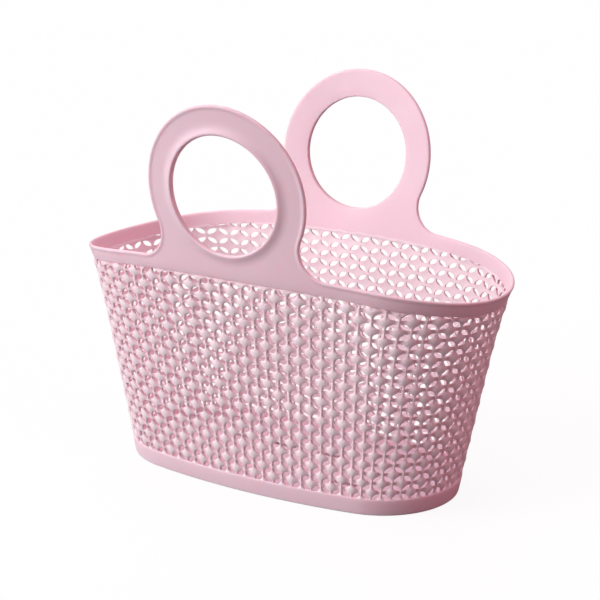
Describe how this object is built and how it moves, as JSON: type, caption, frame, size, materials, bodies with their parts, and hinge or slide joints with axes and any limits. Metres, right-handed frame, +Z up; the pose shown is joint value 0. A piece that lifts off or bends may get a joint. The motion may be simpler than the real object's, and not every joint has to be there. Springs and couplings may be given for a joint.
{
  "type": "shower caddy",
  "caption": "Oval tapered plastic basket with open lattice walls, an arched rim and ring handles over its long sides, for carrying toiletries to the shower.",
  "frame": {"origin": "middle of the ring that the basket stands on, at floor level", "axes": "+X along the basket, +Y across it from the front handle to the back handle, +Z up"},
  "size_m": [0.311, 0.1922, 0.2664],
  "materials": {
    "pink_plastic": "satin moulded"
  },
  "bodies": {
    "basket": {"base_band": "pink_plastic", "base_floor": "pink_plastic", "front_lattice": "pink_plastic", "back_lattice": "pink_plastic", "left_lattice": "pink_plastic", "right_lattice": "pink_plastic", "front_left_lattice": "pink_plastic", "front_right_lattice": "pink_plastic", "back_left_lattice": "pink_plastic", "back_right_lattice": "pink_plastic", "rim_band": "pink_plastic"},
    "front_handle": {"front_handle": "pink_plastic"},
    "back_handle": {"back_handle": "pink_plastic"}
  },
  "joints": [
    {"name": "front_handle_flex", "type": "hinge", "parent": "basket", "child": "front_handle", "pos_m": [0, -0.07715, 0.16553], "axis": [-1, 0, 0], "range_deg": [-10, 45], "stiffness_Nm_per_rad": 2},
    {"name": "back_handle_flex", "type": "hinge", "parent": "basket", "child": "back_handle", "pos_m": [0, 0.07715, 0.16553], "axis": [1, 0, 0], "range_deg": [-10, 45], "stiffness_Nm_per_rad": 2}
  ]
}
